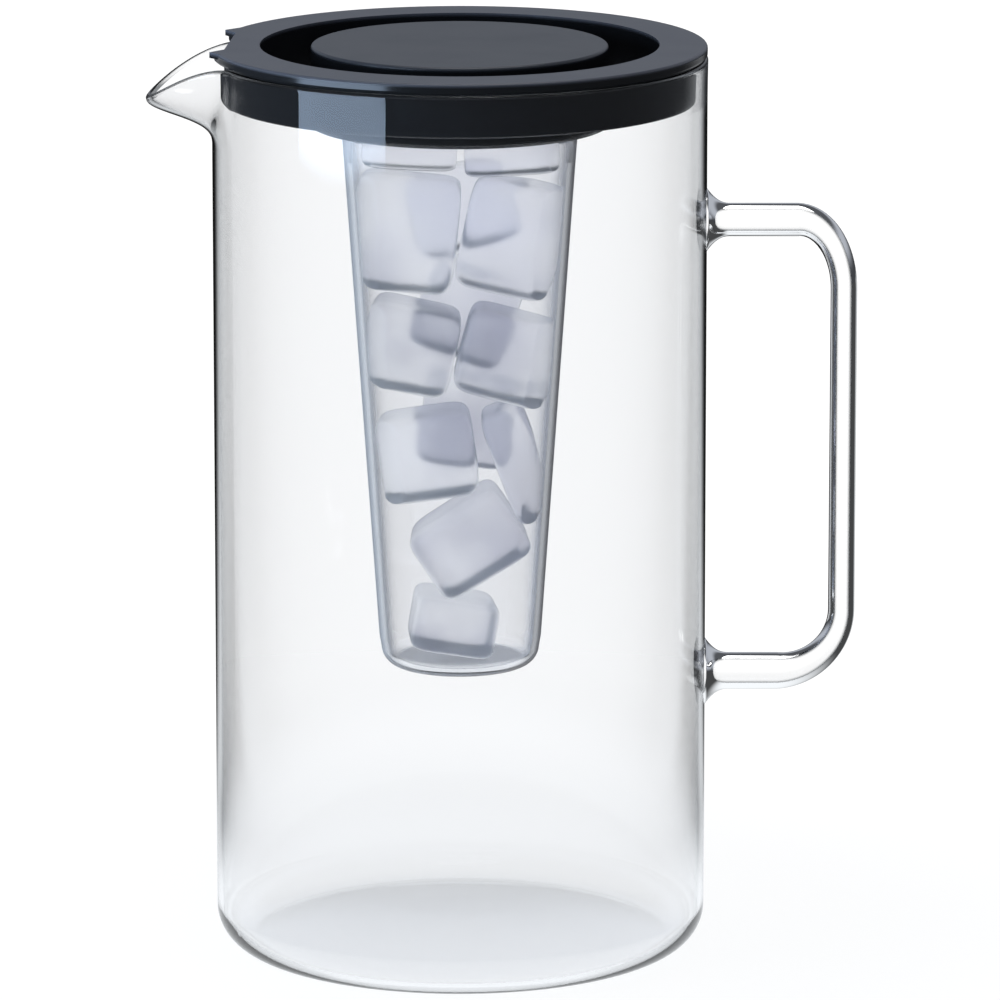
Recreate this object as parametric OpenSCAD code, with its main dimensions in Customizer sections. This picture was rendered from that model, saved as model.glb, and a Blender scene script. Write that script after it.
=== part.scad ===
// Glass pitcher with a lid and an ice core: a clear tapered tube for ice that hangs from the lid.
// Millimetres. Z is up, the origin is the middle of the flat base, the spout points along -X
// and the handle along +X.

/* [Jug] */
// Outside radius of the round jug
jug_r = 65; // [56:1:75]
// Height of the rim above the table
jug_h = 239.2; // [220:1:270]
// Thickness of the glass wall
wall_t = 1.5; // [1.3:0.1:3]
// Thickness of the glass base
base_t = 2.2; // [1.8:0.1:6]
// Radius of the outer corner between base and wall
base_round = 10.6; // [6:0.2:16]
// Thickness of the fire-polished rim bead
rim_t = 1.8; // [1.5:0.1:3.2]

/* [Spout] */
// How far the lip is pulled out beyond the wall
spout_reach = 17.2; // [10:0.1:26]
// How far the rim falls from the mouth to the lip
spout_drop = 10.2; // [4:0.1:14]
// How far below the rim the pull begins
spout_depth = 24; // [18:1:40]
// Half the angle of the rim that the spout takes up
spout_half_angle = 24; // [18:1:30]

/* [Handle] */
// Distance from the rim down to the middle of the upper arm
handle_drop = 43.6; // [30:1:60]
// Distance between the middles of the two arms
handle_span = 121.9; // [90:1:140]
// Distance from the wall to the middle of the grip
handle_reach = 36.2; // [30:1:50]
// Thickness of the upper arm
upper_arm_t = 8.8; // [7:0.2:11]
// Thickness of the lower arm
lower_arm_t = 9.8; // [7:0.2:12]
// Thickness of the grip, seen from the side
grip_t = 7; // [5:0.2:10]
// Width of the grip, seen from behind
grip_w = 8.6; // [6:0.2:11]
// Length of the upper bend along the arm
upper_bend_x = 12.2; // [8:0.2:16]
// Length of the upper bend along the grip
upper_bend_z = 18.5; // [12:0.5:25]
// Radius of the lower bend
lower_bend_r = 17; // [10:0.5:22]
// Width of the weld where the upper arm meets the wall
upper_weld_d = 16.6; // [12:0.2:20]
// Width of the weld where the lower arm meets the wall
lower_weld_d = 17.8; // [12:0.2:21]
// Length over which an arm flares out to its weld
weld_len = 6; // [4:0.5:9]
// How deep the weld melts into the wall
weld_depth = 0.9; // [0.6:0.1:1.4]

/* [Lid] */
// Thickness of the lid's rim flange
flange_t = 2.8; // [1.8:0.1:4]
// Width of the flange between the lid's edge and the finger groove
flange_w = 12.6; // [10:0.2:16]
// Radius of the flange's edges
flange_round = 0.7; // [0.3:0.1:1]
// Depth of the finger groove
groove_depth = 11.7; // [8:0.1:12.5]
// Wall thickness of the lid's mouldings
lid_wall = 1.8; // [1.4:0.1:2.4]
// Depth of the skirt below the top of the lid
skirt_depth = 14.6; // [13:0.2:20]
// Gap between the skirt and the glass
skirt_gap = 1.8; // [0.7:0.1:2.4]
// Gap between the flange and the rim that it rests on
lid_gap = 0.3; // [0.1:0.05:0.5]

/* [Lid notch over the spout] */
// How far the notch cuts into the skirt's outer face
notch_bite = 1.2; // [0.2:0.1:1.5]
// Half the width of the notch at its inner edge
notch_half_w = 13.8; // [8:0.2:16]
// Half the distance between the tips of the two horns
horn_half_w = 18.6; // [17:0.2:22]
// How far the horns reach beyond the flange
horn_reach = 1.5; // [0.5:0.1:3]
// Thickness of the horns
horn_t = 1.5; // [1:0.1:2.5]
// Half the distance between the roots of the two horns
horn_root_half_w = 30; // [26:0.5:36]
// How far the lid is turned in the mouth, in degrees
lid_turn = 4.6; // [-8:0.2:8]

/* [Core socket in the lid] */
// Depth of the socket below the top of the lid
socket_depth = 21.3; // [19:0.1:28]
// Wall thickness of the socket
socket_wall = 2.2; // [1.6:0.1:2.8]
// Thickness of the ledge that carries the core
ledge_t = 2.6; // [2:0.1:4]
// Radius of the socket's lower edge
socket_round = 2.5; // [1:0.1:3]

/* [Ice core] */
// Outside radius of the core at the bottom of the socket
core_top_r = 31.1; // [27:0.5:35]
// Outside radius of the core at its lower end
core_end_r = 20.9; // [16:0.5:26]
// Length of the core below the socket
core_len = 145; // [110:1:160]
// Wall thickness of the core
core_wall = 2; // [1.4:0.1:2.6]
// Radius of the core's lower corner
core_round = 5; // [3:0.5:8]
// Thickness of the flange that the core hangs by
core_flange_t = 2.4; // [1.8:0.1:3.2]
// Width of the flange that the core hangs by
core_flange_w = 6.3; // [4.5:0.1:8]
// Height of the neck above the core's flange
core_neck_h = 2.6; // [2:0.1:3.4]
// Gap between the core and the socket
core_gap = 0.4; // [0.2:0.05:0.8]

/* [Core cap] */
// How far the cap's disc stands in from the socket's outside
cap_inset = 1; // [0.4:0.1:1.4]
// Thickness of the cap's disc
cap_disc_t = 2.2; // [1.6:0.1:3]
// Radius of the cap's upper edge
cap_round = 0.8; // [0.4:0.1:1.5]
// Wall thickness of the cap
cap_wall = 2; // [1.4:0.1:2.6]
// Gap between the cap and the floor of the finger groove
cap_gap = 0.3; // [0.1:0.05:0.5]
// How far the cap's plug reaches into the core
plug_depth = 4.5; // [3:0.5:8]
// Gap between the plug and the core
plug_gap = 0.5; // [0.3:0.05:0.8]
// Width of the seal
seal_w = 3.6; // [2.6:0.2:4.4]
// Thickness of the seal
seal_t = 2; // [1.4:0.1:3]
// Gap between the seal and the mouth of the core
seal_gap = 0.3; // [0.1:0.05:0.5]

/* [Ice] */
// Gap between the ice and the core's wall
ice_gap = 0.5; // [0.4:0.1:1.5]

/* [Hidden] */
$fn = 96;

// Cuts run past the faces that they open by this much
overrun = 4;
// Steps of an arc in an outline
arc_steps = 6;

// Jug
mid_r = jug_r - wall_t / 2;
rim_mid_z = jug_h - rim_t / 2;
spout_z = jug_h - spout_depth;
inner_round = base_round - wall_t;
// The plan of the lip, the fall of the rim and the rise of the pull are powers of a quarter wave
plan_power = 1.7;
fall_power = 1.65;
rise_power = 1.65;
bead_power = 4;
spout_steps = 18;
plain_steps = 50;
rise_steps = 8;
bead_steps = 6;

// Handle
upper_z = jug_h - handle_drop;
lower_z = upper_z - handle_span;
grip_x = jug_r + handle_reach;
rod_sides = 20;
bend_steps = 8;
// Places along a weld's flare, from the wall outwards
flare_shares = [0, 0.12, 0.28, 0.5, 0.75, 1];

// Lid
lid_r = jug_r;
lid_bottom_z = jug_h + lid_gap;
lid_top_z = lid_bottom_z + flange_t;
groove_r = lid_r - flange_w;
floor_z = lid_top_z - groove_depth;
skirt_r = jug_r - wall_t - skirt_gap;
skirt_z = lid_top_z - skirt_depth;
notch_x = skirt_r - notch_bite;
horn_r = lid_r + horn_reach;
horn_x = sqrt(horn_r * horn_r - horn_half_w * horn_half_w);
horn_root_x = sqrt(skirt_r * skirt_r - horn_root_half_w * horn_root_half_w);
// How far the nose runs past the tips before the notch is cut, as a share of a horn's side
nose_share = 0.15;

// Socket, core and cap
core_flange_r = core_top_r + core_flange_w;
socket_in_r = core_flange_r + core_gap;
cap_r = socket_in_r + socket_wall;
socket_z = lid_top_z - socket_depth;
ledge_z = socket_z + ledge_t;
core_slope = (core_top_r - core_end_r) / core_len;
ledge_r = core_top_r + core_gap + core_slope * ledge_t;
core_end_z = socket_z - core_len;
core_flange_z = ledge_z + core_gap;
core_flange_top_z = core_flange_z + core_flange_t;
core_mouth_z = core_flange_top_z + core_neck_h;
plug_r = core_r(core_mouth_z) - core_wall - plug_gap;
plug_z = core_mouth_z - plug_depth;
seal_z = core_mouth_z + seal_gap;
land_z = seal_z + seal_t;
cap_bottom_z = floor_z + cap_gap;
disc_r = cap_r - cap_inset;

// Ice cubes: places from the core's end upwards, half sizes, and turns about x, y and z.
// Across, they are shares of the core's top radius; up, shares of its length.
cube_shares = [
    [-0.418, -0.225, 0.972, 0.386, 0.322, 0.034, 0, 2, 4],
    [0.434, -0.193, 0.962, 0.386, 0.322, 0.038, 0, -3, -4],
    [0, 0.498, 0.848, 0.45, 0.305, 0.09, 0, -14, 6],
    [-0.45, -0.225, 0.817, 0.434, 0.354, 0.107, 0, 6, 0],
    [0.434, -0.257, 0.807, 0.402, 0.322, 0.103, 0, 12, -4],
    [0.064, 0.466, 0.641, 0.418, 0.289, 0.083, 0, 20, -6],
    [-0.418, -0.193, 0.603, 0.386, 0.354, 0.079, 0, 12, 0],
    [0.402, -0.225, 0.586, 0.402, 0.338, 0.079, 0, 15, 0],
    [0.064, 0.45, 0.441, 0.402, 0.225, 0.086, 0, 8, 0],
    [-0.273, -0.193, 0.403, 0.402, 0.354, 0.079, 0, -8, 0],
    [0.498, -0.129, 0.386, 0.193, 0.354, 0.107, 0, -20, 0],
    [0.08, -0.096, 0.238, 0.434, 0.386, 0.072, 0, -33, 0],
    [-0.064, 0, 0.08, 0.354, 0.386, 0.052, 0, 10, 6]];
// A cube is a sphere's directions raised to this power
square_power = 0.3;
cube_rows = 9;
cube_sides = 20;

// Outside radius of the tapered core at a height
function core_r(z) = core_top_r + core_slope * (z - socket_z);

// Points of an arc round a centre in an outline, from one angle to another
function arc(x, y, r, from, to) =
    [for (i = [0 : arc_steps]) let (a = from + (to - from) * i / arc_steps) [x + r * cos(a), y + r * sin(a)]];

// Triangles between neighbouring rings of a loft, with both ends closed
function loft_faces(rings, sides) = concat(
    [[for (i = [0 : sides - 1]) i]],
    [for (j = [0 : rings - 2], i = [0 : sides - 1]) [j * sides + i, (j + 1) * sides + i, (j + 1) * sides + (i + 1) % sides]],
    [for (j = [0 : rings - 2], i = [0 : sides - 1]) [j * sides + i, (j + 1) * sides + (i + 1) % sides, j * sides + (i + 1) % sides]],
    [[for (i = [sides - 1 : -1 : 0]) (rings - 1) * sides + i]]);

module loft(rings) {
    polyhedron(points = [for (ring = rings) each ring], faces = loft_faces(len(rings), len(rings[0])), convexity = 6);
}

// Angles round the jug from the spout, closer together across it
jug_angles = concat(
    [for (i = [0 : spout_steps - 1]) spout_half_angle * (2 * i / spout_steps - 1)],
    [for (i = [0 : plain_steps - 1]) spout_half_angle + (360 - 2 * spout_half_angle) * i / plain_steps]);

// How strongly the glass is pulled at an angle from the spout: one at the lip, zero at its sides
function pull(a) = let (b = a > 180 ? a - 360 : a)
    abs(b) < spout_half_angle ? pow(cos(90 * b / spout_half_angle), plan_power) : 0;

// How far the pull has come at a share of the way up the spout
function rise(s) = pow(sin(90 * pow(max(s, 0), rise_power)), 2);

// Middle of the glass at an angle and a share of the way from the start of the spout to the rim
function glass(a, s) = let (
    w = pull(a),
    r = mid_r + spout_reach * w * rise(s),
    top = rim_mid_z - spout_drop * pow(w, fall_power))
    [-r * cos(a), -r * sin(a), spout_z + (top - spout_z) * s];

function unit(v) = v / norm(v);
function along(a) = unit(glass(a + 0.5, 1) - glass(a - 0.5, 1));
function upward(a, s) = unit(glass(a, s + 0.01) - glass(a, s - 0.01));
function outward(a, s) = unit(cross(glass(a + 0.5, s) - glass(a - 0.5, s), upward(a, s)));
function half_t(s) = wall_t / 2 + (rim_t - wall_t) / 2 * pow(s, bead_power);

// A level ring of the jug, and rings on the two faces and round the bead of the spout's zone
function level_ring(p) = [for (a = jug_angles) [-p[0] * cos(a), -p[0] * sin(a), p[1]]];
function face_ring(s, side) = [for (a = jug_angles) glass(a, s) + side * half_t(s) * outward(a, s)];
function bead_ring(b) =
    [for (a = jug_angles) glass(a, 1) + rim_t / 2 * (cos(b) * outward(a, 1) + sin(b) * upward(a, 1))];

// Jug: one loft that runs up the outside, over the rim and down the inside
module jug_body() {
    outer_corner = arc(jug_r - base_round, base_round, base_round, -90, 0);
    inner_corner = arc(jug_r - base_round, base_t + inner_round, inner_round, 0, -90);
    color("lightcyan", 0.35)
    loft(concat(
        [for (p = outer_corner) level_ring(p)],
        [for (i = [0 : rise_steps]) face_ring(i / rise_steps, 1)],
        [for (i = [1 : bead_steps - 1]) bead_ring(180 * i / bead_steps)],
        [for (i = [rise_steps : -1 : 0]) face_ring(i / rise_steps, -1)],
        [for (p = inner_corner) level_ring(p)]));
}

// Stations of the handle's rod: [x, z, direction, half thickness, half width]
function flare(u, arm_t, weld_d) = arm_t / 2 + (weld_d - arm_t) / 2 * pow(1 - u, 2);
function blend(from, to, t) = from + (to - from) * t;
upper_arm = concat(
    [[jug_r - weld_depth, upper_z, 0, upper_weld_d / 2, upper_weld_d / 2]],
    [for (u = flare_shares) let (h = flare(u, upper_arm_t, upper_weld_d)) [jug_r + weld_len * u, upper_z, 0, h, h]]);
upper_bend = [for (i = [0 : bend_steps]) let (t = 90 * i / bend_steps)
    [grip_x - upper_bend_x * (1 - sin(t)), upper_z - upper_bend_z * (1 - cos(t)),
     atan2(-upper_bend_z * sin(t), upper_bend_x * cos(t)),
     blend(upper_arm_t, grip_t, sin(t)) / 2, blend(upper_arm_t, grip_w, sin(t)) / 2]];
lower_bend = [for (i = [0 : bend_steps]) let (t = 90 * i / bend_steps)
    [grip_x - lower_bend_r * (1 - cos(t)), lower_z + lower_bend_r * (1 - sin(t)), -90 - t,
     blend(grip_t, lower_arm_t, 1 - cos(t)) / 2, blend(grip_w, lower_arm_t, 1 - cos(t)) / 2]];
lower_arm = concat(
    [for (i = [len(flare_shares) - 1 : -1 : 0])
        let (u = flare_shares[i], h = flare(u, lower_arm_t, lower_weld_d)) [jug_r + weld_len * u, lower_z, -180, h, h]],
    [[jug_r - weld_depth, lower_z, -180, lower_weld_d / 2, lower_weld_d / 2]]);

// One ring of the rod at a station
function rod_ring(p) = [for (i = [0 : rod_sides - 1]) let (q = 360 * i / rod_sides, n = [-sin(p[2]), 0, cos(p[2])])
    [p[0], 0, p[1]] + p[3] * sin(q) * n + [0, p[4] * cos(q), 0]];

// Handle: a bent glass rod, thinner along the grip, welded to the wall at both ends
module jug_handle() {
    color("lightcyan", 0.45)
    loft([for (p = concat(upper_arm, upper_bend, lower_bend, lower_arm)) rod_ring(p)]);
}

// Lid: flange, finger groove, skirt, and the socket that the core hangs in
module lid_section() {
    polygon(concat(
        [[groove_r, lid_top_z]],
        arc(lid_r - flange_round, lid_top_z - flange_round, flange_round, 90, 0),
        arc(lid_r - flange_round, lid_bottom_z + flange_round, flange_round, 0, -90),
        [[skirt_r, lid_bottom_z]],
        arc(skirt_r - lid_wall / 2, skirt_z + lid_wall / 2, lid_wall / 2, 0, -180),
        [[skirt_r - lid_wall, lid_bottom_z],
         [groove_r + lid_wall, lid_bottom_z],
         [groove_r + lid_wall, floor_z - lid_wall],
         [cap_r, floor_z - lid_wall]],
        arc(cap_r - socket_round, socket_z + socket_round, socket_round, 0, -90),
        [[ledge_r, socket_z],
         [ledge_r, ledge_z],
         [socket_in_r, ledge_z],
         [socket_in_r, floor_z],
         [groove_r, floor_z]]));
}

// Plan of the nose that lies along the spout's rim; the notch leaves its two sides as horns
module horn_plan() {
    tip = [-horn_x, horn_half_w];
    root = [-horn_root_x, horn_root_half_w];
    past = tip + (tip - root) * nose_share;
    polygon([root, past, [past[0], -past[1]], [root[0], -root[1]]]);
}

// Plan of the notch, which widens outwards
module notch_plan() {
    run = horn_x - notch_x + overrun;
    spread = run * (horn_half_w - notch_half_w) / (horn_x - notch_x);
    polygon([[-notch_x, -notch_half_w], [-notch_x, notch_half_w],
             [-notch_x - run, notch_half_w + spread], [-notch_x - run, -notch_half_w - spread]]);
}

module lid_cover() {
    color("dimgray")
    rotate([0, 0, -lid_turn])
    difference() {
        union() {
            rotate_extrude() lid_section();
            translate([0, 0, lid_top_z - horn_t]) linear_extrude(horn_t) horn_plan();
        }
        translate([0, 0, lid_bottom_z]) linear_extrude(flange_t + overrun) notch_plan();
    }
}

// Cap: the disc inside the finger groove, its wall, and the plug that closes the core
module core_cap() {
    color("slategray")
    rotate_extrude() {
        polygon(concat(
            [[0, lid_top_z]],
            arc(disc_r - cap_round, lid_top_z - cap_round, cap_round, 90, 0),
            [[disc_r, cap_bottom_z],
             [disc_r - cap_wall, cap_bottom_z],
             [disc_r - cap_wall, lid_top_z - cap_disc_t],
             [plug_r, lid_top_z - cap_disc_t],
             [plug_r, land_z + cap_wall],
             [plug_r + seal_w, land_z + cap_wall],
             [plug_r + seal_w, land_z],
             [plug_r, land_z],
             [plug_r, plug_z],
             [plug_r - cap_wall, plug_z],
             [plug_r - cap_wall, lid_top_z - cap_disc_t],
             [0, lid_top_z - cap_disc_t]]));
    }
}

// Seal: a flat silicone ring under the cap's land, over the mouth of the core
module core_seal() {
    color("white")
    translate([0, 0, seal_z])
    difference() {
        cylinder(h = seal_t, r = plug_r + seal_w);
        translate([0, 0, -overrun]) cylinder(h = seal_t + 2 * overrun, r = plug_r);
    }
}

// Ice core: a clear tapered cup that hangs by its flange in the lid's socket
module ice_core() {
    color("lavender", 0.4)
    rotate_extrude() {
        polygon(concat(
            [[0, core_end_z]],
            arc(core_end_r - core_round, core_end_z + core_round, core_round, -90, 0),
            [[core_r(core_flange_z), core_flange_z],
             [core_flange_r, core_flange_z],
             [core_flange_r, core_flange_top_z],
             [core_r(core_flange_top_z), core_flange_top_z],
             [core_r(core_mouth_z), core_mouth_z],
             [core_r(core_mouth_z) - core_wall, core_mouth_z]],
            arc(core_end_r - core_round, core_end_z + core_round, core_round - core_wall, 0, -90),
            [[0, core_end_z + core_wall]]));
    }
}

// A sphere's direction squared off, a turn about x, y and z, and a point held inside the core
function squared(v) = sign(v) * pow(abs(v), square_power);
function turn_x(p, a) = [p[0], p[1] * cos(a) - p[2] * sin(a), p[1] * sin(a) + p[2] * cos(a)];
function turn_y(p, a) = [p[0] * cos(a) + p[2] * sin(a), p[1], p[2] * cos(a) - p[0] * sin(a)];
function turn_z(p, a) = [p[0] * cos(a) - p[1] * sin(a), p[0] * sin(a) + p[1] * cos(a), p[2]];
function held(p) = let (
    limit = core_r(p[2]) - core_wall - ice_gap,
    k = min(1, limit / norm([p[0], p[1], 0])))
    [p[0] * k, p[1] * k, p[2]];

// One ring of a cube, at a height of the sphere between its poles
function cube_ring(c, j) = let (lift = 180 * j / (cube_rows + 1) - 90)
    [for (i = [0 : cube_sides - 1]) let (
        q = 360 * i / cube_sides,
        p = [c[3] * core_top_r * squared(cos(lift)) * squared(cos(q)),
             c[4] * core_top_r * squared(cos(lift)) * squared(sin(q)),
             c[5] * core_len * squared(sin(lift))],
        t = turn_z(turn_y(turn_x(p, c[6]), c[7]), c[8]))
        held(t + [c[0] * core_top_r, c[1] * core_top_r, core_end_z + c[2] * core_len])];

// Ice: rounded melting cubes, loose in the core
module ice_cubes() {
    color("white", 0.7)
    for (c = cube_shares) loft([for (j = [1 : cube_rows]) cube_ring(c, j)]);
}

jug_body();
jug_handle();
lid_cover();
core_cap();
core_seal();
ice_core();
ice_cubes();
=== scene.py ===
import math

import bpy
import numpy as np
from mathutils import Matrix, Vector


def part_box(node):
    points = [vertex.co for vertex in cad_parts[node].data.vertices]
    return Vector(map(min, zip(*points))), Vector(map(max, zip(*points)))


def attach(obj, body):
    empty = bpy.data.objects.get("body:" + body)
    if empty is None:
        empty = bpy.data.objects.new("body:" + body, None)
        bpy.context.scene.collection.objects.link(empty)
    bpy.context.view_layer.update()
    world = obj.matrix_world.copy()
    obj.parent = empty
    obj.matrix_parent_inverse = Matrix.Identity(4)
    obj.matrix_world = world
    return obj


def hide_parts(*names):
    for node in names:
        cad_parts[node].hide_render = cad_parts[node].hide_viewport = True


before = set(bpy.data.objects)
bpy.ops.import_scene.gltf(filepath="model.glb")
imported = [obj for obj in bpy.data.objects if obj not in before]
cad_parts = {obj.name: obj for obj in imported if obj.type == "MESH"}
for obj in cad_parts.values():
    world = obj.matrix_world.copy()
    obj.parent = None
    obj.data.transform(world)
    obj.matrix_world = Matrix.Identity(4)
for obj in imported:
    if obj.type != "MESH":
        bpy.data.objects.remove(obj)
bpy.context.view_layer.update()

MM = 0.001
TAU = 2 * math.pi

# Jug, in metres like all that follows
JUG_R = 65 * MM
RIM_Z = 239.2 * MM
WALL = 1.5 * MM
BASE = 2.2 * MM
BASE_ROUND = 10.6 * MM      # radius of the outer corner at the foot
PUNT = 0.6 * MM             # how far the base is hollow underneath
PUNT_INSIDE = 0.6           # its rise inside the jug, as a share of that
FLOOR_SPAN = (0.06, 0.94)   # first and last ring of the base's flat, as shares of its radius
RIM_T = 1.8 * MM            # thickness of the bead on the rim

# Spout
SPOUT_REACH = 17.2 * MM     # how far the lip is pulled out
SPOUT_DROP = 10.2 * MM      # how far the rim falls there
SPOUT_DEPTH = 24 * MM       # how far down from the rim the pull begins
SPOUT_HALF = math.radians(24)
PLAN_POWER = 1.7            # the pull across the spout
FALL_POWER = 1.65           # the fall of the rim with the pull
RISE_POWER = 1.65           # the rise of the pull up the wall
BEAD_POWER = 4              # the thickening of the wall into the bead
PULLED_THIN = 0.25          # share by which pulled glass is thinner, at the most

# Handle rod
UPPER_Z = 195.6 * MM
LOWER_Z = 73.7 * MM
GRIP_X = 101.2 * MM
UPPER_T = 8.8 * MM
LOWER_T = 9.8 * MM
GRIP_T = 7.0 * MM
GRIP_W = 8.6 * MM
UPPER_BEND = (12.2 * MM, 18.5 * MM)
LOWER_BEND = (17.0 * MM, 17.0 * MM)
UPPER_WELD = 16.6 * MM
LOWER_WELD = 17.8 * MM
WELD_LEN = 6.0 * MM
WELD_DEPTH = 0.9 * MM       # how far the rod reaches into the wall
WELD_POWER = 2.2            # the flare of the arms into their welds

# Ice core
CORE_TOP_R = 31.1 * MM
CORE_END_R = 20.9 * MM
CORE_LEN = 145 * MM         # length of the taper
CORE_END_Z = 76 * MM
CORE_SLOPE = (CORE_TOP_R - CORE_END_R) / CORE_LEN
CORE_WALL = 2.0 * MM
CORE_ROUND = 5.0 * MM       # radius of the corner at its closed end
CORE_LEAN = 4               # degrees by which its wall leans out
TAPER_FROM = 8.0 * MM       # height over the end where the straight wall begins
TAPER_TO = 2.0 * MM         # depth under the mouth where it ends inside
FLANGE_ABOVE = 3.0 * MM     # height of the flange over the taper
FLANGE_T = 2.4 * MM
CORE_EDGE = 0.4 * MM        # radius of its small edges
CORE_PIN = 0.5 * MM         # radius of the first ring, which is closed to a point
ICE_GAP = 0.5 * MM
ICE_POWER = 0.3             # 1 is an ellipsoid, 0 a sharp box

# Points along the curves
FOOT_STEPS = 20
FLOOR_STEPS = 14
WALL_STEPS = 8
SPOUT_COLUMNS = 72
PLAIN_COLUMNS = 200
SPOUT_ROWS = 30
BEAD_STEPS = 14
ARM_STEPS = 14
BEND_STEPS = 22
ROD_SIDES = 48
CORE_SIDES = 128
CORNER_STEPS = 14
INNER_CORNER_STEPS = 12
TAPER_STEPS = 12
INNER_TAPER_STEPS = 14
EDGE_STEPS = 4
ICE_STEPS = 36

# Colours, as red, green, blue and alpha. The films are what glass and ice leave of lamp light.
WHITE = (1, 1, 1, 1)
MIST = (0.66, 0.64, 0.66, 1)
# Painted shade: the dark outline that glass shows by reflection along its edges
PAINTED_DARK_EDGE = (0.06, 0.065, 0.07, 1)
MOULD_BLACK = (0.008, 0.009, 0.011, 1)
GLASS_FILM = (0.93, 0.95, 0.96, 1)
ICE_FILM = (0.75, 0.76, 0.80, 1)
ROOM_BLUE = (0.85, 0.90, 1.0, 1)

# Optics: how strongly each stuff bends light, and the brightness of the white behind the object
GLASS_IOR = 1.47
CLEAR_IOR = 1.49
MOULD_IOR = 1.46
ICE_IOR = 1.16              # softer than real ice, which is 1.31
SILICONE_IOR = 1.41
BACKDROP = 1.1


# Shader maths on sockets

class Wire:
    """A socket that plain Python arithmetic can be written on."""

    def __init__(self, tree, socket):
        self.tree = tree
        self.socket = socket

    def math(self, operation, value):
        """A Math node on this wire and another wire or number."""
        return node(self.tree, "ShaderNodeMath", [self, value], operation=operation)

    def __add__(self, other):
        return self.math("ADD", other)

    def __sub__(self, other):
        return self.math("SUBTRACT", other)

    def __rsub__(self, other):
        return self * -1 + other

    def __mul__(self, other):
        return self.math("MULTIPLY", other)

    def __truediv__(self, other):
        return self.math("DIVIDE", other)

    __radd__ = __add__

    def up_to_one(self):
        """This wire, held to 1 at the most."""
        return self.math("MINIMUM", 1.0)

    def smooth(self, low, high):
        """A smooth step that is 0 below low and 1 above high."""
        values = {"Value": self, "From Min": low, "From Max": high}
        return node(self.tree, "ShaderNodeMapRange", values, interpolation_type="SMOOTHSTEP")


def node(tree, kind, sockets=None, out=0, **settings):
    """A node with values or wires on its sockets, in order or by name, as a wire from one of its outputs."""
    made = tree.nodes.new(kind)
    for key, value in settings.items():
        setattr(made, key, value)
    pairs = enumerate(sockets) if isinstance(sockets, list) else (sockets or {}).items()
    for key, value in pairs:
        if isinstance(value, Wire):
            tree.links.new(value.socket, made.inputs[key])
        else:
            made.inputs[key].default_value = value
    return Wire(tree, made.outputs[out]) if made.outputs else None


def material(name):
    """A fresh material: its tree and a function that sets its surface."""
    made = bpy.data.materials.new(name)
    made.use_nodes = True
    made.node_tree.nodes.clear()
    tree = made.node_tree

    def surface(shader):
        node(tree, "ShaderNodeOutputMaterial", {"Surface": shader})
        return made

    return tree, surface


def mix(tree, factor, a, b):
    """Two colours mixed by a factor."""
    return node(tree, "ShaderNodeMix", {0: factor, 6: a, 7: b}, out=2, data_type="RGBA")


def mix_shaders(tree, factor, a, b):
    """Two shaders mixed by a factor."""
    return node(tree, "ShaderNodeMixShader", [factor, a, b])


def principled(tree, values):
    """The general shader, with its values by name."""
    return node(tree, "ShaderNodeBsdfPrincipled", values)


def diffuse(tree, colour):
    """A matt shader."""
    return node(tree, "ShaderNodeBsdfDiffuse", {"Color": colour})


def emission(tree, colour, strength):
    """A shader that shines by itself."""
    return node(tree, "ShaderNodeEmission", {"Color": colour, "Strength": strength})


def own_place(tree):
    """A point's place in the object's own coordinates, in metres."""
    return node(tree, "ShaderNodeTexCoord", out="Object")


def axis(tree, place, name):
    """One coordinate of a place, by the name of its axis."""
    return node(tree, "ShaderNodeSeparateXYZ", [place], out=name)


def grazing(tree):
    """How far a surface is turned from the eye: 0 seen squarely, 1 seen along it."""
    return node(tree, "ShaderNodeLayerWeight", {"Blend": 0.5}, out="Facing")


def noise(tree, scale, detail):
    """Noise on the object's own place, in features per metre."""
    values = {"Vector": own_place(tree), "Scale": scale, "Detail": detail}
    return node(tree, "ShaderNodeTexNoise", values)


def bump(tree, height, strength, distance):
    """A bumped normal from a height."""
    return node(tree, "ShaderNodeBump", {"Strength": strength, "Distance": distance, "Height": height})


# Finishes of the object

def lets_lamps_through(tree, shader, tint):
    """A shader that is a plain film to rays from the lamps, so that they reach what is behind it."""
    lamp_ray = node(tree, "ShaderNodeLightPath", out="Is Shadow Ray")
    film = node(tree, "ShaderNodeBsdfTransparent", {"Color": tint})
    return mix_shaders(tree, lamp_ray, shader, film)


def clear_glass(name, ior, edge, start, end, tint=WHITE, frost=0):
    """Clear glass or plastic that turns from its tint to a painted dark edge colour between two grazing
    values: painted shade for the dark outline that reflections draw along glass.

    Frost is the greatest share of white mist on it, which also grows where it is seen along its
    surface, as on cold plastic round ice.
    """
    tree, surface = material(name)
    facing = grazing(tree)
    # The edge colour is painted shade, put into the colour by how far the surface is seen along itself
    colour = mix(tree, facing.smooth(start, end), tint, edge)
    shader = principled(tree, {
        "Base Color": colour, "Roughness": 0.0, "IOR": ior, "Transmission Weight": 1.0})
    if frost:
        misty = facing.smooth(0.42, 0.85) * frost
        shader = mix_shaders(tree, misty, shader, diffuse(tree, MIST))
    return surface(lets_lamps_through(tree, shader, GLASS_FILM))


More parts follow.
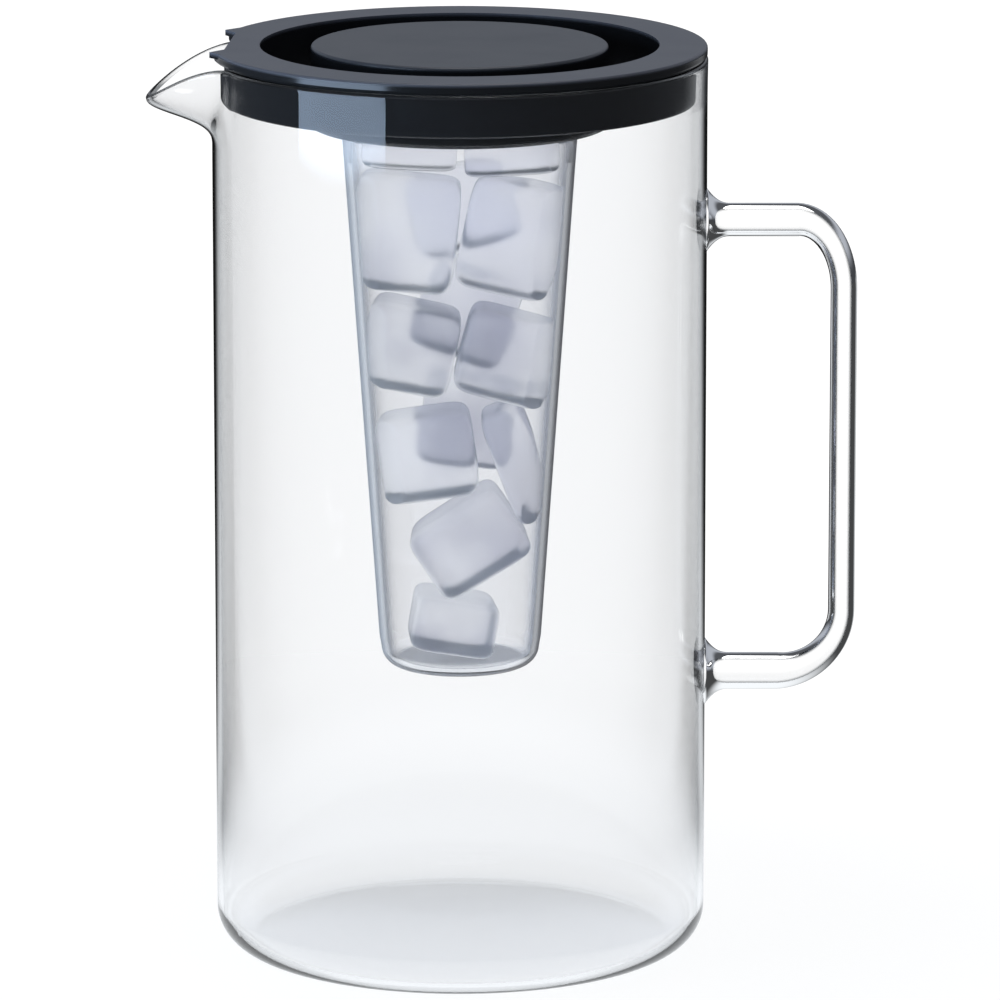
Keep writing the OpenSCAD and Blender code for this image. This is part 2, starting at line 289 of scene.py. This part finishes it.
def moulded_plastic(name, top, split):
    """Black moulded plastic: satin with a fine grain above a height, smooth and darker below it. Above the
    height its colour is painted lighter, a painted sheen of the light that falls on the top.
    """
    blend = 0.6 * MM
    smooth_rough = 0.15
    satin_rough = 0.37
    tree, surface = material(name)
    height = axis(tree, own_place(tree), "Z")
    above = height.smooth(split - blend, split + blend)
    cloud = noise(tree, scale=45, detail=3)
    grain = noise(tree, scale=2600, detail=2)
    # The lighter colour above the height is painted sheen; the cloud adds random tone
    tone_and_painted_sheen = mix(tree, above * (0.75 + cloud * 0.5), MOULD_BLACK, top)
    rough = smooth_rough + above * (satin_rough - smooth_rough) + (cloud - 0.5) * 0.10
    normal = bump(tree, grain * above, strength=0.30, distance=0.06 * MM)
    return surface(principled(tree, {
        "Base Color": tone_and_painted_sheen, "Roughness": rough, "IOR": MOULD_IOR, "Normal": normal}))


def cloudy_ice(name):
    """Ice: grey and pale in slow patches, whitened in clouds and with a painted highlight towards its edges,
    with melted faces.
    """
    grey = (0.54, 0.54, 0.61, 1)
    pale = (0.90, 0.90, 0.95, 1)
    tree, surface = material(name)
    cloud = noise(tree, scale=38, detail=3).smooth(0.36, 0.66)
    melt = noise(tree, scale=90, detail=2)
    # Whitening towards the edges by grazing is a painted highlight of bright light bent through them; the
    # clouds are the ice's own white
    clouds_and_painted_glint = (grazing(tree).smooth(0.25, 0.85) * 0.6 + cloud * 0.8).up_to_one()
    patches = noise(tree, scale=17, detail=1).smooth(0.42, 0.58)
    colour = mix(tree, clouds_and_painted_glint, mix(tree, patches, grey, pale), WHITE)
    shader = principled(tree, {
        "Base Color": colour, "Roughness": 0.34, "IOR": ICE_IOR, "Transmission Weight": 0.94,
        "Normal": bump(tree, melt, strength=0.30, distance=1.0 * MM)})
    return surface(lets_lamps_through(tree, shader, ICE_FILM))


def silicone(name):
    """Soft pale silicone, faintly mottled."""
    tree, surface = material(name)
    mottle = noise(tree, scale=300, detail=2)
    colour = mix(tree, mottle, (0.72, 0.73, 0.74, 1), (0.80, 0.81, 0.82, 1))
    return surface(principled(tree, {"Base Color": colour, "Roughness": 0.5, "IOR": SILICONE_IOR}))


# The edge colours of these glasses and of the clear plastic are painted shade: dark outlines that
# reflections would draw
JUG_GLASS = clear_glass("jug_glass", GLASS_IOR, edge=(0.35, 0.37, 0.40, 1), start=0.84, end=0.97,
                        tint=(0.988, 0.993, 1.0, 1))
RIM_GLASS = clear_glass("rim_glass", GLASS_IOR, edge=PAINTED_DARK_EDGE, start=0.10, end=0.34)
ROD_GLASS = clear_glass("rod_glass", GLASS_IOR, edge=PAINTED_DARK_EDGE, start=0.28, end=0.70)
CORE_PLASTIC = clear_glass("core_plastic", CLEAR_IOR, edge=(0.55, 0.56, 0.60, 1), start=0.75, end=0.97,
                           tint=(0.965, 0.97, 0.985, 1), frost=0.6)
# Their top colours are painted sheen, lighter than the black the plastic is moulded in
LID_PLASTIC = moulded_plastic("lid_plastic", top=(0.068, 0.076, 0.100, 1), split=241.7 * MM)
CAP_PLASTIC = moulded_plastic("cap_plastic", top=(0.038, 0.045, 0.060, 1), split=241.5 * MM)
ICE = cloudy_ice("ice")
SILICONE = silicone("silicone")


# Surfaces

def mesh_object(name, points, faces, finish):
    """An object in the scene from points and faces, with one finish."""
    mesh = bpy.data.meshes.new(name)
    mesh.from_pydata(points.tolist(), [], faces)
    mesh.materials.append(finish)
    made = bpy.data.objects.new(name, mesh)
    bpy.context.scene.collection.objects.link(made)
    return made


def surface_mesh(name, points, finish, body, nodes):
    """A smooth closed surface through a grid of points: rows along a path, each row a closed ring.

    Neighbouring rings are joined by quads, and each end is closed by a fan to the middle of its ring.
    """
    rows, cols, _ = points.shape
    here = np.arange(rows * cols).reshape(rows, cols)
    after = np.roll(here, -1, axis=1)
    quads = np.stack([here[:-1], after[:-1], after[1:], here[1:]], -1).reshape(-1, 4)
    first = np.stack([np.full(cols, rows * cols), after[0], here[0]], -1)
    last = np.stack([np.full(cols, rows * cols + 1), here[-1], after[-1]], -1)
    corners = np.vstack([points.reshape(-1, 3), points[0].mean(0), points[-1].mean(0)])
    piece = mesh_object(name, corners, quads.tolist() + first.tolist() + last.tolist(), finish)
    piece.data.polygons.foreach_set("use_smooth", [True] * len(piece.data.polygons))
    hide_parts(*nodes)
    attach(piece, body)
    return piece


def arc(centre, radius, start, end, steps):
    """Points of a circular arc in a profile, from one angle to another in degrees, ends included."""
    angle = np.radians(np.linspace(start, end, steps))
    return np.stack([centre[0] + radius * np.cos(angle), centre[1] + radius * np.sin(angle)], -1)


def turned(profile, angles):
    """Rings of a turned surface: each profile point (radius, height) carried round the axis."""
    radius = profile[:, 0][:, None]
    height = np.repeat(profile[:, 1][:, None], len(angles), axis=1)
    return np.stack([radius * np.cos(angles), radius * np.sin(angles), height], -1)


def around(sides):
    """Evenly spaced angles once round."""
    return np.linspace(0, TAU, sides, endpoint=False)


# Jug

def jug_angles():
    """Angles round the jug from the spout, close together across the spout and wider apart elsewhere."""
    spout = np.linspace(-SPOUT_HALF, SPOUT_HALF, SPOUT_COLUMNS, endpoint=False)
    plain = np.linspace(SPOUT_HALF, TAU - SPOUT_HALF, PLAIN_COLUMNS, endpoint=False)
    return np.concatenate([spout, plain])


def spout_wave(angle):
    """A cosine across the spout: 1 in its middle and 0 at its sides and elsewhere."""
    turn = np.where(angle > math.pi, angle - TAU, angle)
    return np.cos(np.clip(turn / SPOUT_HALF, -1, 1) * math.pi / 2)


def glass_middle(angle, share):
    """Middle of the glass at an angle from the spout and a share of the way up the spout's zone.

    The pull is a power of a cosine across the spout and zero at its sides. The radius grows by the
    pull times a squared sine of the share, and the rim falls by a power of the pull.
    """
    pull = np.clip(spout_wave(angle), 0, 1) ** PLAN_POWER
    rise = np.sin(math.pi / 2 * np.clip(share, 0, None) ** RISE_POWER) ** 2
    radius = JUG_R - WALL / 2 + SPOUT_REACH * pull * rise
    low = RIM_Z - SPOUT_DEPTH
    top = RIM_Z - RIM_T / 2 - SPOUT_DROP * pull ** FALL_POWER
    return np.stack([-radius * np.cos(angle), -radius * np.sin(angle), low + (top - low) * share], -1)


def unit(v):
    """Vectors of length 1 in the same directions."""
    return v / np.linalg.norm(v, axis=-1, keepdims=True)


def glass_normals(angle, share):
    """Outward and upward directions of the glass, from small differences of its middle."""
    small_share = 0.005
    small_angle = 0.004
    upward = unit(glass_middle(angle, share + small_share) - glass_middle(angle, share - small_share))
    across = glass_middle(angle + small_angle, share) - glass_middle(angle - small_angle, share)
    return unit(np.cross(across, upward)), upward


def glass_face(angles, share, side):
    """A ring on the outer or inner face: the middle moved out or in by half of the local thickness.

    The glass is thinned where it is pulled, most in the middle of the spout, and thickens towards
    the bead on the rim.
    """
    share = np.full_like(angles, share)
    outward, _ = glass_normals(angles, share)
    pulled = (spout_wave(angles) * np.sin(math.pi * share)) ** 2
    half = WALL / 2 * (1 - PULLED_THIN * pulled) + (RIM_T - WALL) / 2 * share ** BEAD_POWER
    return glass_middle(angles, share) + side * half[:, None] * outward


def rim_bead(angles, degrees):
    """A ring on the rounded rim: half a circle swept over the top of the middle surface."""
    share = np.ones_like(angles)
    outward, upward = glass_normals(angles, share)
    lean = math.radians(degrees)
    return glass_middle(angles, share) + RIM_T / 2 * (math.cos(lean) * outward + math.sin(lean) * upward)


def make_jug():
    """The jug as one closed skin: up the outside, over the rim bead and down the inside.

    The base is very slightly hollow underneath, as a pressed and blown one is, and rises less inside.
    The bead has a finish of its own.
    """
    angles = jug_angles()
    turn = angles + math.pi
    flat = JUG_R - BASE_ROUND
    inner_round = BASE_ROUND - WALL
    top = RIM_Z - SPOUT_DEPTH
    run = np.linspace(*FLOOR_SPAN, FLOOR_STEPS) * flat
    hollow = PUNT * (1 - (run / flat) ** 2) ** 2
    under = np.stack([run, hollow], -1)
    floor = np.stack([run, BASE + PUNT_INSIDE * hollow], -1)[::-1]
    foot = arc((flat, BASE_ROUND), BASE_ROUND, -90, 0, FOOT_STEPS)
    inner_foot = arc((flat, BASE + inner_round), inner_round, 0, -90, FOOT_STEPS)
    walls = np.linspace(0, 1, WALL_STEPS)[1:-1, None]
    wall = np.hstack([np.full_like(walls, JUG_R), BASE_ROUND + walls * (top - BASE_ROUND)])
    inner_wall = np.hstack([np.full_like(walls, JUG_R - WALL), top + walls * (BASE + inner_round - top)])
    shares = np.linspace(0, 1, SPOUT_ROWS)
    leans = np.linspace(0, 180, BEAD_STEPS)[1:-1]
    outside = turned(np.vstack([under, foot, wall]), turn)
    outer_spout = np.stack([glass_face(angles, share, 1) for share in shares])
    bead = np.stack([rim_bead(angles, lean) for lean in leans])
    inner_spout = np.stack([glass_face(angles, share, -1) for share in shares[::-1]])
    inside = turned(np.vstack([inner_wall, inner_foot, floor]), turn)
    skin = np.concatenate([outside, outer_spout, bead, inner_spout, inside])
    jug = surface_mesh("jug_skin", skin, JUG_GLASS, "jug", ("jug_body",))
    jug.data.materials.append(RIM_GLASS)
    first = (len(outside) + len(outer_spout) - 1) * len(angles)
    for face in jug.data.polygons[first:first + (len(bead) + 1) * len(angles)]:
        face.material_index = 1


# Handle

def handle_path():
    """Stations of the rod, down its path: distance out, height, direction, half thickness, half width.

    The arms flare out to their welds as a power of the distance left, the bends are quarter
    ellipses, and the rod thins smoothly from each arm to the grip.
    """
    steps = np.radians(np.linspace(0, 90, BEND_STEPS))

    def arm(height, thick, weld, lean):
        """From inside the wall out along an arm."""
        share = np.linspace(0, 1, ARM_STEPS)
        out = np.append(JUG_R - WELD_DEPTH, JUG_R + WELD_LEN * share)
        size = np.append(weld / 2, thick / 2 + (weld - thick) / 2 * (1 - share) ** WELD_POWER)
        steady = np.ones_like(out)
        return np.stack([out, height * steady, lean * steady, size, size], -1)

    def bend(height, size, thick, way):
        """Between arm and grip: into the grip with way 1 and back towards the wall with way -1."""
        to_grip, to_arm = (np.sin(steps), np.cos(steps)) if way > 0 else (np.cos(steps), np.sin(steps))
        out = GRIP_X - size[0] * (1 - to_grip)
        up = height - way * size[1] * (1 - to_arm)
        lean = np.arctan2(-size[1] * to_grip, way * size[0] * to_arm)
        half = (thick + (GRIP_T - thick) * to_grip) / 2
        wide = (thick + (GRIP_W - thick) * to_grip) / 2
        return np.stack([out, up, lean, half, wide], -1)

    return np.vstack([arm(UPPER_Z, UPPER_T, UPPER_WELD, 0),
                      bend(UPPER_Z, UPPER_BEND, UPPER_T, 1),
                      bend(LOWER_Z, LOWER_BEND, LOWER_T, -1),
                      arm(LOWER_Z, LOWER_T, LOWER_WELD, math.pi)[::-1]])


def make_handle():
    """The handle: an ellipse carried along the path, square to it."""
    out, up, lean, half, wide = handle_path().T[:, :, None]
    angles = around(ROD_SIDES)
    through = half * np.sin(angles)
    rings = np.stack([out - np.sin(lean) * through, wide * np.cos(angles), up + np.cos(lean) * through], -1)
    surface_mesh("handle_rod", rings[:, ::-1], ROD_GLASS, "jug", ("jug_handle",))


# Ice core

def core_radius(z):
    """Outside radius of the tapered core at a height."""
    return CORE_END_R + CORE_SLOPE * (z - CORE_END_Z)


def taper(low, high, steps, inset):
    """Profile points up or down the tapered wall, inside it by an inset."""
    heights = np.linspace(low, high, steps)
    return np.stack([core_radius(heights) - inset, heights], -1)


def core_outline():
    """Profile of the core from the middle of its end up the outside, and from its mouth down the inside.

    The outside goes round the flange that hangs the core in the lid.
    """
    low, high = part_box("ice_core")
    end, mouth, flange_r = low[2], high[2], high[0]
    flange = end + CORE_LEN + FLANGE_ABOVE
    flange_top = flange + FLANGE_T
    edge = CORE_EDGE
    mouth_r = core_radius(mouth)
    corner = (CORE_END_R - CORE_ROUND, end + CORE_ROUND)
    outside = np.vstack([
        [[CORE_PIN, end]],
        arc(corner, CORE_ROUND, -90, -CORE_LEAN, CORNER_STEPS),
        taper(end + TAPER_FROM, flange - edge, TAPER_STEPS, 0),
        [[core_radius(flange) + edge, flange], [flange_r - edge, flange]],
        arc((flange_r - edge, flange + edge), edge, -60, 0, EDGE_STEPS),
        arc((flange_r - edge, flange_top - edge), edge, 0, 90, EDGE_STEPS),
        [[core_radius(flange_top) + edge, flange_top], [core_radius(flange_top), flange_top + edge]],
        arc((mouth_r - edge, mouth - edge), edge, 0, 90, EDGE_STEPS)])
    inside = np.vstack([
        arc((mouth_r - CORE_WALL + edge, mouth - edge), edge, 90, 180, EDGE_STEPS),
        taper(mouth - TAPER_TO, end + TAPER_FROM, INNER_TAPER_STEPS, CORE_WALL),
        arc(corner, CORE_ROUND - CORE_WALL, -CORE_LEAN, -90, INNER_CORNER_STEPS),
        [[CORE_PIN, end + CORE_WALL]]])
    return np.vstack([outside, inside])


def make_core():
    """The clear tapered cup, turned from its outline."""
    points = turned(core_outline(), around(CORE_SIDES))
    surface_mesh("core_cup", points, CORE_PLASTIC, "core", ("ice_core",))


# Ice cubes: middle x, y, z, then half sizes along x, y, z, then turns about y and z in degrees. Places
# and half sizes are shares of the core's top radius, along z of its length, from the core's end up.
CUBES = [
    (-0.418, -0.225, 0.972, 0.386, 0.322, 0.034, 2, 4),
    (0.434, -0.193, 0.962, 0.386, 0.322, 0.038, -3, -4),
    (0, 0.498, 0.848, 0.45, 0.305, 0.09, -14, 6),
    (-0.45, -0.225, 0.817, 0.434, 0.354, 0.107, 6, 0),
    (0.434, -0.257, 0.807, 0.402, 0.322, 0.103, 12, -4),
    (0.064, 0.466, 0.641, 0.418, 0.289, 0.083, 20, -6),
    (-0.418, -0.193, 0.603, 0.386, 0.354, 0.079, 12, 0),
    (0.402, -0.225, 0.586, 0.402, 0.338, 0.079, 15, 0),
    (0.064, 0.45, 0.441, 0.402, 0.225, 0.086, 8, 0),
    (-0.273, -0.193, 0.403, 0.402, 0.354, 0.079, -8, 0),
    (0.498, -0.129, 0.386, 0.193, 0.354, 0.107, -20, 0),
    (0.08, -0.096, 0.238, 0.434, 0.386, 0.072, -33, 0),
    (-0.064, 0, 0.08, 0.354, 0.386, 0.052, 10, 6)]


def squared_off(v):
    """Sines or cosines raised to a power, which draws round shapes towards a box."""
    return np.sign(v) * np.abs(v) ** ICE_POWER


def rounded_cube(half):
    """A rounded cube: a sphere's directions, squared off, times the half sizes."""
    lift = np.linspace(-math.pi / 2, math.pi / 2, ICE_STEPS + 2)[1:-1, None]
    turn = around(2 * ICE_STEPS)[None, :]
    x = squared_off(np.cos(lift)) * squared_off(np.cos(turn))
    y = squared_off(np.cos(lift)) * squared_off(np.sin(turn))
    z = squared_off(np.sin(lift)) + 0 * turn
    return np.stack([x, y, z], -1) * half


def turn_matrix(degrees):
    """Matrix of a turn about y and then one about z."""
    sin_y, sin_z = np.sin(np.radians(degrees))
    cos_y, cos_z = np.cos(np.radians(degrees))
    about_y = np.array([[cos_y, 0, sin_y], [0, 1, 0], [-sin_y, 0, cos_y]])
    about_z = np.array([[cos_z, -sin_z, 0], [sin_z, cos_z, 0], [0, 0, 1]])
    return about_z @ about_y


def make_ice():
    """The cubes in the core: each is turned about its middle, put in place and held inside the wall."""
    nearly_zero = 1e-6
    scale = np.array([CORE_TOP_R, CORE_TOP_R, CORE_LEN])
    for number, cube in enumerate(np.array(CUBES), 1):
        points = rounded_cube(cube[3:6] * scale) @ turn_matrix(cube[6:]).T
        points += cube[:3] * scale + [0, 0, CORE_END_Z]
        radius = np.linalg.norm(points[..., :2], axis=-1, keepdims=True)
        limit = core_radius(points[..., 2:]) - CORE_WALL - ICE_GAP
        points[..., :2] *= np.minimum(1, limit / np.maximum(radius, nearly_zero))
        surface_mesh(f"ice_cube_{number:02d}", points, ICE, "core", ("ice_cubes",))


def finish_node(name, finish):
    """Give a part that stays as the frame has it its finish."""
    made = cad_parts[name]
    made.data.materials.clear()
    made.data.materials.append(finish)


make_jug()
make_handle()
make_core()
make_ice()
finish_node("lid_cover", LID_PLASTIC)
finish_node("core_cap", CAP_PLASTIC)
finish_node("core_seal", SILICONE)


# Studio

TABLE_R = 1.5
TABLE_BELOW = 0.2 * MM      # so that it doesn't touch the foot
TABLE_SIDES = 96


def light_path(tree):
    """Whether a ray came straight or through glass, was mirrored and was scattered, each as 0 or 1."""
    path = node(tree, "ShaderNodeLightPath").socket.node

    def out(name):
        return Wire(tree, path.outputs[name])

    mirrored = out("Glossy Depth").up_to_one()
    scattered = out("Diffuse Depth").up_to_one()
    kinds = (out("Is Camera Ray") + out("Is Transmission Ray") + out("Is Glossy Ray")).up_to_one()
    return kinds * (1 - mirrored) * (1 - scattered), mirrored, scattered


def make_world():
    """A studio: a white backdrop seen past and through the object, and round it a dim bluish room.

    Only mirrored and scattered rays see the room. It is palest a little above the table's level and
    dimmer overhead.
    """
    world = bpy.data.worlds.new("studio")
    bpy.context.scene.world = world
    world.use_nodes = True
    tree = world.node_tree
    tree.nodes.clear()
    seen, _, _ = light_path(tree)
    height = axis(tree, node(tree, "ShaderNodeTexCoord", out="Generated"), "Z")
    low = 0.06
    palest = 0.50
    overhead = 0.10
    rising = height.smooth(-0.05, 0.25) * (palest - low)
    room = low + rising - height.smooth(0.34, 0.60) * (palest - overhead)
    strength = seen * BACKDROP + (1 - seen) * room
    tint = mix(tree, seen, ROOM_BLUE, WHITE)
    light = node(tree, "ShaderNodeBackground", {"Color": tint, "Strength": strength})
    node(tree, "ShaderNodeOutputWorld", {"Surface": light})


def make_floor():
    """A round white table that keeps the object's shadow.

    Mirrored, it is white close to the object. Further off it is dim in front and at the sides, paler
    towards the back and black straight behind, as with the black flag that a photographer stands
    there to draw the dark outline of glass.
    """
    tree, surface = material("floor_white")
    _, mirrored, scattered = light_path(tree)
    place = own_place(tree)
    away = node(tree, "ShaderNodeVectorMath", [place], out="Value", operation="LENGTH")
    back = axis(tree, place, "Y") / away
    flag = back.smooth(0.85, 0.945)
    near = 1 - away.smooth(0.09, 0.19)
    paper = diffuse(tree, (0.85, 0.85, 0.85, 1))
    shine = emission(tree, WHITE, BACKDROP)
    shining = 0.80 + away.smooth(0.10, 0.34) * 0.20
    white = mix_shaders(tree, shining, paper, shine)
    paler = 0.05 + back.smooth(0.55, 0.85) * 0.62
    dim = 0.01 + (1 - flag) * paler
    mirror = emission(tree, (0.94, 0.97, 1.0, 1), near + (1 - near) * dim)
    dark = diffuse(tree, (0.12, 0.12, 0.13, 1))
    bright = mix_shaders(tree, mirrored, white, mirror)
    finish = surface(mix_shaders(tree, scattered, bright, dark))
    angles = around(TABLE_SIDES)
    rim = TABLE_R * np.stack([np.cos(angles), np.sin(angles), 0 * angles], -1)
    points = np.vstack([rim, [[0, 0, 0]]]) - [0, 0, TABLE_BELOW]
    faces = [[side, (side + 1) % TABLE_SIDES, TABLE_SIDES] for side in range(TABLE_SIDES)]
    floor = mesh_object("floor", points, faces, finish)


def make_panel(place, size, strength, colour):
    """A soft panel that only mirrors see, fading at its lower edge: the bluish window on the lid."""
    fade = 12 * MM
    tree, surface = material("panel")
    low = place[2] - size[1] / 2
    glow = axis(tree, own_place(tree), "Z").smooth(low, low + fade) * strength
    finish = surface(emission(tree, colour, glow))
    outward = unit(np.array([place[0], place[1], 0.0]))
    along = np.array([-outward[1], outward[0], 0.0]) * size[0] / 2
    up = np.array([0, 0, size[1] / 2])
    corners = np.array(place) + np.array([-along - up, along - up, along + up, -along + up])
    panel = mesh_object("panel", corners, [[0, 1, 2, 3]], finish)
    for kind in ("camera", "diffuse", "transmission", "shadow", "volume_scatter"):
        setattr(panel, f"visible_{kind}", False)


def make_lamp(name, place, aim, size, power, colour, glossy):
    """A rectangular soft lamp that is seen in mirrors at the most, and only if glossy says so."""
    lamp = bpy.data.lights.new(name, "AREA")
    lamp.shape = "RECTANGLE"
    lamp.size, lamp.size_y = size
    lamp.energy = power
    lamp.color = colour
    holder = bpy.data.objects.new(name, lamp)
    holder.location = place
    holder.rotation_euler = (Vector(aim) - Vector(place)).to_track_quat("-Z", "Y").to_euler()
    holder.visible_camera = False
    holder.visible_transmission = False
    holder.visible_glossy = glossy
    bpy.context.scene.collection.objects.link(holder)


def make_camera():
    """The photograph's viewpoint: far off and a little above."""
    tilt_down = 12.230
    lens = bpy.data.cameras.new("camera")
    lens.lens = 306.1
    lens.sensor_width = 36
    lens.clip_end = 100
    holder = bpy.data.objects.new("camera", lens)
    holder.location = (0.01056, -2.2016, 0.5973)
    holder.rotation_euler = (math.radians(90 - tilt_down), 0, 0)
    bpy.context.scene.collection.objects.link(holder)
    bpy.context.scene.camera = holder


def set_render():
    """Plain colours, and enough bounces for light to pass jug, core and ice."""
    scene = bpy.context.scene
    scene.view_settings.view_transform = "Standard"
    scene.cycles.max_bounces = 24
    scene.cycles.transmission_bounces = 24
    scene.cycles.glossy_bounces = 8
    scene.cycles.transparent_max_bounces = 24


make_world()
make_floor()
make_lamp("side_softbox", place=(-0.33, -0.20, 0.20), aim=(0, 0, 0.20), size=(0.33, 0.38),
          power=2.1, colour=(0.72, 0.86, 1.0), glossy=False)
make_panel(place=(-0.307, -0.234, 0.224), size=(0.30, 0.139), strength=7.2, colour=(0.58, 0.75, 1.0, 1))
make_lamp("top_softbox", place=(0.1, 0.1, 1.5), aim=(0, 0, 0.2), size=(1.0, 1.0),
          power=9, colour=(1, 1, 1), glossy=True)
make_camera()
set_render()
